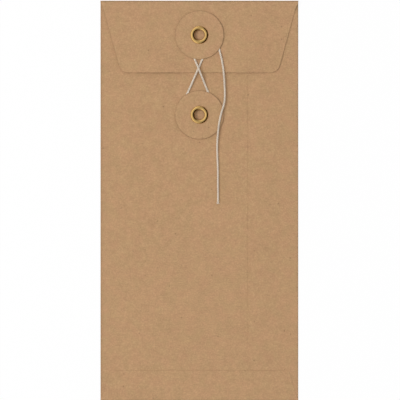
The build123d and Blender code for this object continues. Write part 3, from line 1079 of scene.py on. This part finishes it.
class ENVELOPE_OT_pocket(bpy.types.Operator):
    """Fold the pocket: front, side folds and the two back panels that lap at the seam"""

    bl_idname = "envelope.pocket"
    bl_label = "Fold Pocket"

    def execute(self, context):
        settings = context.scene.envelope_sheet
        x, z, thickness, back = self.profile(settings)
        x, y = np.meshgrid(x, np.linspace(bottom_crease, mouth, POCKET_ROWS))
        z = z + bulge(x, y, settings) * back
        pocket = slab("pocket_sheet", np.stack([x, y, z], axis=-1), thickness)
        punch(pocket, lower_button, settings.punched, back_top)
        # Side folds darkened, partly wear and partly painted shade: the left fold, which the lamp lights,
        # more than the right
        across = places_of(pocket.data)[:, 0]
        fold_darkening = np.where(across < 0, 1, RIGHT_FOLD_SHADE_SHARE)
        past_crease = (np.abs(across) - side_crease) / FOLD_WEAR_AND_SHADE_RUN
        paint_wear_and_shade(pocket, fold_darkening * smooth(past_crease + FOLD_WEAR_AND_SHADE_INNER_SHARE))
        finish_piece(
            pocket,
            kraft("pocket", settings),
            "kraft_paper",
            "front_panel",
            "wide_back_panel",
            "narrow_back_panel",
            "seam_step",
            "seam_lap",
            "left_side_fold",
            "right_side_fold",
        )
        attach(pocket, "pocket")
        return {"FINISHED"}

    def profile(self, settings):
        """The sheet's line across the envelope as places, heights, thicknesses and shares of the back's
        bulge. From the seam it goes left over the back, round the left fold, right along the front, round
        the right fold and back left, sinking gently to pass under the wide panel's thinned edge."""
        middle, bend = back_top - paper / 2, (back_top - paper) / 2
        thinned, slope = seam - settings.pressed_width, seam + SEAM_SLOPE
        wide_x = np.concatenate(
            [
                np.linspace(seam, thinned, PRESSED_STEPS, endpoint=False),
                np.linspace(thinned, -side_crease, WIDE_STEPS),
            ]
        )
        wide_t = pressed(seam - wide_x, settings)
        left = arc((-side_crease, back_top / 2), bend, math.pi / 2, math.pi, FOLD_STEPS)[1:-1]
        front_x = np.linspace(-side_crease, side_crease, FRONT_STEPS)
        right = arc((side_crease, back_top / 2), bend, -math.pi / 2, math.pi, FOLD_STEPS)[1:-1]
        narrow_x = np.linspace(side_crease, slope, NARROW_STEPS, endpoint=False)
        slope_x = np.linspace(slope, seam, SLOPE_STEPS, endpoint=False)
        step = settings.pressed_edge + GUM_CLEARANCE
        slope_z = middle - step * smooth((slope - slope_x) / SEAM_SLOPE)
        tuck_x = np.linspace(seam, thinned, TUCK_STEPS, endpoint=False)
        gum = thickness_of(seam_gum) * smooth((seam - tuck_x) / settings.pressed_width)
        tuck_z = middle - pressed(seam - tuck_x, settings) - GUM_CLEARANCE - gum
        stretches = [
            (wide_x, back_top - wide_t / 2),
            left.T,
            (front_x, paper / 2),
            right.T,
            (narrow_x, middle),
            (slope_x, slope_z),
            (tuck_x, tuck_z),
            (np.linspace(thinned, lap_low.x, LAP_STEPS), lap_low.z + paper / 2),
        ]
        x, z = np.concatenate([np.column_stack(np.broadcast_arrays(*each)) for each in stretches]).T
        thickness = np.full(len(x), paper)
        thickness[: len(wide_x)] = wide_t
        back = np.ones(len(x))
        rest = slice(len(wide_x), len(wide_x) + len(left) + len(front_x) + len(right))
        back[rest] = (z[rest] - paper / 2) / (back_top - paper)
        return x, z, thickness, back


class ENVELOPE_OT_bottom_flap(bpy.types.Operator):
    """Fold the bottom flap up over both back panels"""

    bl_idname = "envelope.bottom_flap"
    bl_label = "Fold Bottom Flap"

    def execute(self, context):
        settings = context.scene.envelope_sheet
        tip, half_width, top = bottom_high.y, bottom_high.x, bottom_high.z
        outline = FlapOutline(bottom_crease, tip, half_width, settings.bottom_corner, settings.taper)
        fold = arc((bottom_crease, top / 2), (top - paper) / 2, -math.pi / 2, -math.pi, FOLD_STEPS)[:-1]
        x, y, half, turned = outline.grid(fold[:, 0], BOTTOM_ROWS, BOTTOM_COLUMNS)
        edge = np.minimum(half - np.abs(x), tip - y)
        thickness = np.where(turned, pressed(edge, settings), paper)
        gum = thickness_of(bottom_gum) - GUM_CLEARANCE
        sunk = gum * (1 - smooth(edge / settings.pressed_width))
        level = np.zeros_like(half)
        level[: len(fold), 0] = fold[:, 1]
        z = np.where(turned, bottom_low.z + thickness / 2 - sunk, level)
        z = z + bulge(x, y, settings) * np.where(turned, 1, (level - paper / 2) / (top - paper))
        flap = slab("bottom_flap_sheet", np.stack([x, y, z], axis=-1), thickness)
        outline.darken_edges(flap, True)
        finish_piece(flap, kraft("bottom_flap", settings), "kraft_paper", "bottom_flap", "bottom_fold")
        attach(flap, "pocket")
        return {"FINISHED"}


class ENVELOPE_OT_closing_flap(bpy.types.Operator):
    """Fold the closing flap over the mouth, in one sheet with the strip of the front above the mouth"""

    bl_idname = "envelope.closing_flap"
    bl_label = "Fold Closing Flap"

    def execute(self, context):
        settings = context.scene.envelope_sheet
        tip, half_width, top = flap_low.y - TIP_SHIFT, flap_high.x, flap_high.z
        outline = FlapOutline(top_crease, tip, half_width, settings.flap_corner, settings.taper)
        strip = np.linspace(mouth, top_crease, STRIP_ROWS, endpoint=False)
        fold = arc((top_crease, top / 2), (top - paper) / 2, -math.pi / 2, math.pi, FLAP_FOLD_STEPS)[:-1]
        folded = np.concatenate([strip, fold[:, 0]])
        x, y, half, turned = outline.grid(folded, FLAP_ROWS, FLAP_COLUMNS)
        level = np.full_like(half, top - paper / 2)
        level[: len(folded), 0] = np.concatenate([np.full(STRIP_ROWS, paper / 2), fold[:, 1]])
        down = smooth((top_crease - y) / DROOP_START) * (1 - smooth((half - np.abs(x)) / DROOP_RUN))
        up = spring(x, y, settings.spring)
        height = flap_low.z - back_top + sink(x, y, settings.pinch) + up
        hold = settings.flap_hold + DROOP_LEAN * x / half
        z = level + (up - hold * height * down) * turned
        flap = slab("closing_flap_sheet", np.stack([x, y, z], axis=-1), paper)
        punch(flap, upper_button, settings.punched, top)
        outline.darken_edges(flap, False)
        finish_piece(flap, kraft("closing_flap", settings), "kraft_paper", "closing_flap", "flap_fold")
        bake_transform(flap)
        return {"FINISHED"}


# Buttons and gum: counts of points along each stretch of their sections

CARD_STEPS = 24
RIM_STEPS = 6
CLINCH_STEPS = 20
BARREL_STEPS = 5
THROAT_STEPS = 20
ROLL_STEPS = 14


class ENVELOPE_OT_discs(bpy.types.Operator):
    """Cut the two card discs"""

    bl_idname = "envelope.discs"
    bl_label = "Cut Discs"

    def execute(self, context):
        settings = context.scene.envelope_sheet
        for name, box in discs.items():
            middle = middle_of(box)
            disc = lathe(f"{name}_card_disc", self.section(*box, settings), middle)
            # The rim is darkened all round: painted shade of the gap under it, and partly wear of the cut
            # edge
            away = np.linalg.norm(places_of(disc.data)[:, :2] - middle, axis=1)
            paint_wear_and_shade(disc, smooth((away - disc_radius + RIM_WEAR_AND_SHADE_RUN) / RIM_WEAR_AND_SHADE_RUN))
            finish_piece(disc, kraft(f"{name}_disc", settings), "button_card", f"{name}_disc")
            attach(disc, f"{name}_button")
        return {"FINISHED"}

    def section(self, low, high, settings):
        """Radii and heights of a flat ring with a rounded rim. It droops by the fourth power of the share of
        the way out."""
        rim = settings.card_rim
        flat_end = disc_radius - rim
        foot = low.z + settings.card_droop
        inner = np.linspace(settings.disc_hole, flat_end, CARD_STEPS)
        section = np.concatenate(
            [
                np.column_stack([inner, np.full(CARD_STEPS, foot)]),
                arc((flat_end, foot + rim), rim, -math.pi / 2, math.pi / 2, RIM_STEPS)[1:],
                arc((flat_end, high.z - rim), rim, 0, math.pi / 2, RIM_STEPS)[:-1],
                np.column_stack([inner[::-1], np.full(CARD_STEPS, high.z)]),
            ]
        )
        section[:, 1] -= settings.card_droop * (section[:, 0] / disc_radius) ** 4
        return section


class ENVELOPE_OT_eyelets(bpy.types.Operator):
    """Roll the two brass eyelets"""

    bl_idname = "envelope.eyelets"
    bl_label = "Roll Eyelets"

    def execute(self, context):
        settings = context.scene.envelope_eyelet
        brass = polished_brass(settings)
        bodies = {"upper": "flap", "lower": "pocket"}
        for name, box in eyelets.items():
            eyelet = lathe(f"{name}_brass_eyelet", self.section(*box, settings), middle_of(box))
            finish_piece(eyelet, brass, "eyelet_brass", f"{name}_eyelet")
            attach(eyelet, bodies[name])
        return {"FINISHED"}

    def section(self, low, high, settings):
        """The brass sheet's line, up from the clinch roll, along the barrel, out round the oval throat and
        down the flange's roll, with each of its points half a wall out and half a wall back along the
        normal."""
        half = settings.wall / 2
        barrel = settings.bore + half
        crest = high.z - half
        foot = low.z + half + settings.clinch_roll
        throat_foot = crest - settings.flange_rise
        oval = (settings.throat, settings.flange_rise)
        roll, clinch_turn = settings.flange_roll, settings.clinch_turn
        turn = math.acos(1 - (settings.flange_rise - half) / roll)
        roll_middle = (flange_radius - (roll + half) * math.sin(turn), crest - roll)
        clinch_middle = (barrel + settings.clinch_roll, foot)
        throat_middle = (barrel + settings.throat, throat_foot)
        upright = np.linspace(foot, throat_foot, BARREL_STEPS + 2)[1:-1]
        line = np.concatenate(
            [
                arc(clinch_middle, settings.clinch_roll, math.pi + clinch_turn, -clinch_turn, CLINCH_STEPS),
                np.column_stack([np.full(BARREL_STEPS, barrel), upright]),
                throat_middle + arc((0, 0), 1, math.pi, -math.pi / 2, THROAT_STEPS) * oval,
                arc(roll_middle, roll, math.pi / 2, -turn, ROLL_STEPS),
            ]
        )
        tangent = np.gradient(line, axis=0)
        normal = np.column_stack([-tangent[:, 1], tangent[:, 0]])
        normal /= np.linalg.norm(normal, axis=1, keepdims=True)
        return np.concatenate([line + normal * half, (line - normal * half)[::-1]])


class ENVELOPE_OT_gum(bpy.types.Operator):
    """Spread the gum of the side seam and of the bottom flap"""

    bl_idname = "envelope.gum"
    bl_label = "Spread Gum"

    def execute(self, context):
        settings = context.scene.envelope_sheet
        gum = dried_gum(settings)
        patches = {"side_seam_gum": (seam_gum, 0), "bottom_flap_gum": (bottom_gum, settings.taper)}
        for node, (box, taper) in patches.items():
            patch = self.patch(f"{node}_film", box, taper, settings)
            finish_piece(patch, gum, "dried_gum", node)
            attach(patch, "pocket")
        return {"FINISHED"}

    def patch(self, name, box, taper, settings):
        """A film half as thick as its place between two sheets, which narrows upwards by a taper and follows
        the back's bulge."""
        low, high = box
        y = np.linspace(low.y, high.y, GUM_ROWS)[:, None]
        half = half_width_of(box) - (y - low.y) * math.tan(taper)
        x = middle_of(box)[0] + half * np.linspace(-1, 1, GUM_COLUMNS)
        y = np.broadcast_to(y, x.shape)
        z = (low.z + high.z) / 2 + bulge(x, y, settings)
        return slab(name, np.stack([x, y, z], axis=-1), thickness_of(box) / 2)


class ENVELOPE_PT_sidebar(bpy.types.Panel):
    """Sizes, colours and making steps of the envelope"""

    bl_idname = "ENVELOPE_PT_sidebar"
    bl_label = "String Tie Envelope"
    bl_space_type = "VIEW_3D"
    bl_region_type = "UI"
    bl_category = "Envelope"

    def draw(self, context):
        for name, group in GROUPS.items():
            box = self.layout.box()
            for key in group.__annotations__:
                box.prop(getattr(context.scene, name), key)
        for operator in OPERATORS:
            self.layout.operator(operator.bl_idname)


GROUPS = {
    "envelope_stage": StageSettings,
    "envelope_string": StringSettings,
    "envelope_sheet": SheetSettings,
    "envelope_eyelet": EyeletSettings,
}
OPERATORS = (
    ENVELOPE_OT_stage,
    ENVELOPE_OT_string,
    ENVELOPE_OT_pocket,
    ENVELOPE_OT_bottom_flap,
    ENVELOPE_OT_closing_flap,
    ENVELOPE_OT_discs,
    ENVELOPE_OT_eyelets,
    ENVELOPE_OT_gum,
)


def register():
    for group in GROUPS.values():
        bpy.utils.register_class(group)
    for name, group in GROUPS.items():
        setattr(bpy.types.Scene, name, PointerProperty(type=group))
    for made in (*OPERATORS, ENVELOPE_PT_sidebar):
        bpy.utils.register_class(made)


def unregister():
    for made in (ENVELOPE_PT_sidebar, *reversed(OPERATORS)):
        bpy.utils.unregister_class(made)
    for name, group in GROUPS.items():
        delattr(bpy.types.Scene, name)
        bpy.utils.unregister_class(group)


def main():
    register()
    bpy.ops.envelope.stage()
    bpy.ops.envelope.string()
    bpy.ops.envelope.pocket()
    bpy.ops.envelope.bottom_flap()
    bpy.ops.envelope.closing_flap()
    bpy.ops.envelope.discs()
    bpy.ops.envelope.eyelets()
    bpy.ops.envelope.gum()


if __name__ == "__main__":
    main()
